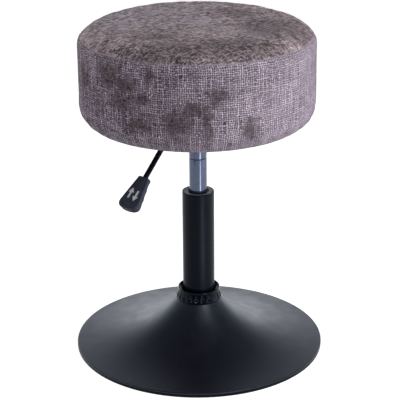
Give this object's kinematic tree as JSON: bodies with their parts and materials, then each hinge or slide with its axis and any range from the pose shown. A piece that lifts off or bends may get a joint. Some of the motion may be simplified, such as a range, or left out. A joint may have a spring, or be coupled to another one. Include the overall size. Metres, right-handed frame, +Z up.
{
  "type": "adjustable swivel stool",
  "caption": "Round upholstered swivel stool on a lockable gas spring, with a trumpet base and a release lever under the seat.",
  "frame": {"origin": "on the floor, at the centre of the base", "axes": "+Z up along the column; the release lever points along -X, so a sitter who faces -Y has it at the right hand"},
  "size_m": [0.4, 0.4, 0.5405],
  "materials": {
    "black_paint": "satin",
    "black_plastic": "satin",
    "grey_plastic": "satin",
    "black_rubber": "matte",
    "zinc_steel": "satin",
    "cylinder_steel": "gloss",
    "chromed_steel": "polished",
    "plywood": "matte",
    "foam": "matte",
    "chenille": "matte",
    "black_cloth": "matte"
  },
  "bodies": {
    "base": {"base_shell": "black_paint", "floor_ring": "black_rubber", "ballast_plate": "black_paint", "hub_socket": "black_paint", "base_bolt_1": "zinc_steel", "base_bolt_2": "zinc_steel", "base_bolt_3": "zinc_steel", "base_bolt_4": "zinc_steel", "collar": "black_plastic", "column_tube": "black_paint", "guide_bush": "grey_plastic", "bearing_lower_race": "zinc_steel"},
    "cage": {"bearing_cage": "zinc_steel"},
    "spindle": {"piston_rod": "chromed_steel", "piston": "zinc_steel", "piston_seal": "black_rubber", "piston_nut": "zinc_steel", "bearing_upper_race": "zinc_steel", "foot_washer": "zinc_steel", "retaining_clip": "zinc_steel", "rubber_buffer": "black_rubber"},
    "seat": {"gas_cylinder": "cylinder_steel", "valve_body": "zinc_steel", "rod_guide": "grey_plastic", "rod_seal": "black_rubber", "seat_plate": "black_paint", "cone_socket": "black_paint", "lever_bracket": "zinc_steel", "pivot_pin": "zinc_steel", "seat_board": "plywood", "t_nut_1": "zinc_steel", "t_nut_2": "zinc_steel", "t_nut_3": "zinc_steel", "t_nut_4": "zinc_steel", "seat_bolt_1": "zinc_steel", "seat_bolt_2": "zinc_steel", "seat_bolt_3": "zinc_steel", "seat_bolt_4": "zinc_steel", "foam_pad": "foam", "seat_cover": "chenille", "dust_cover": "black_cloth"},
    "lever": {"lever_rod": "black_paint", "lever_handle": "black_plastic"},
    "pin": {"release_pin": "chromed_steel"}
  },
  "joints": [
    {"name": "swivel", "type": "hinge", "parent": "base", "child": "spindle", "pos_m": [0, 0, 0.03], "axis": [0, 0, 1], "continuous": true},
    {"name": "cage_roll", "type": "hinge", "parent": "base", "child": "cage", "pos_m": [0, 0, 0.0266], "axis": [0, 0, 1], "continuous": true},
    {"name": "height", "type": "slide", "parent": "spindle", "child": "seat", "axis": [0, 0, 1], "range_m": [-0.065, 0.055]},
    {"name": "lever_lift", "type": "hinge", "parent": "seat", "child": "lever", "pos_m": [-0.026, 0, 0.36974], "axis": [0, 1, 0], "range_deg": [0, 7.5]},
    {"name": "pin_press", "type": "slide", "parent": "seat", "child": "pin", "axis": [0, 0, 1], "range_m": [-0.0036, 0]}
  ],
  "couplings": [
    {"joint": "cage_roll", "follows": "swivel", "ratio": 0.5},
    {"joint": "pin_press", "follows": "lever_lift", "m_per_rad": -0.0265}
  ]
}
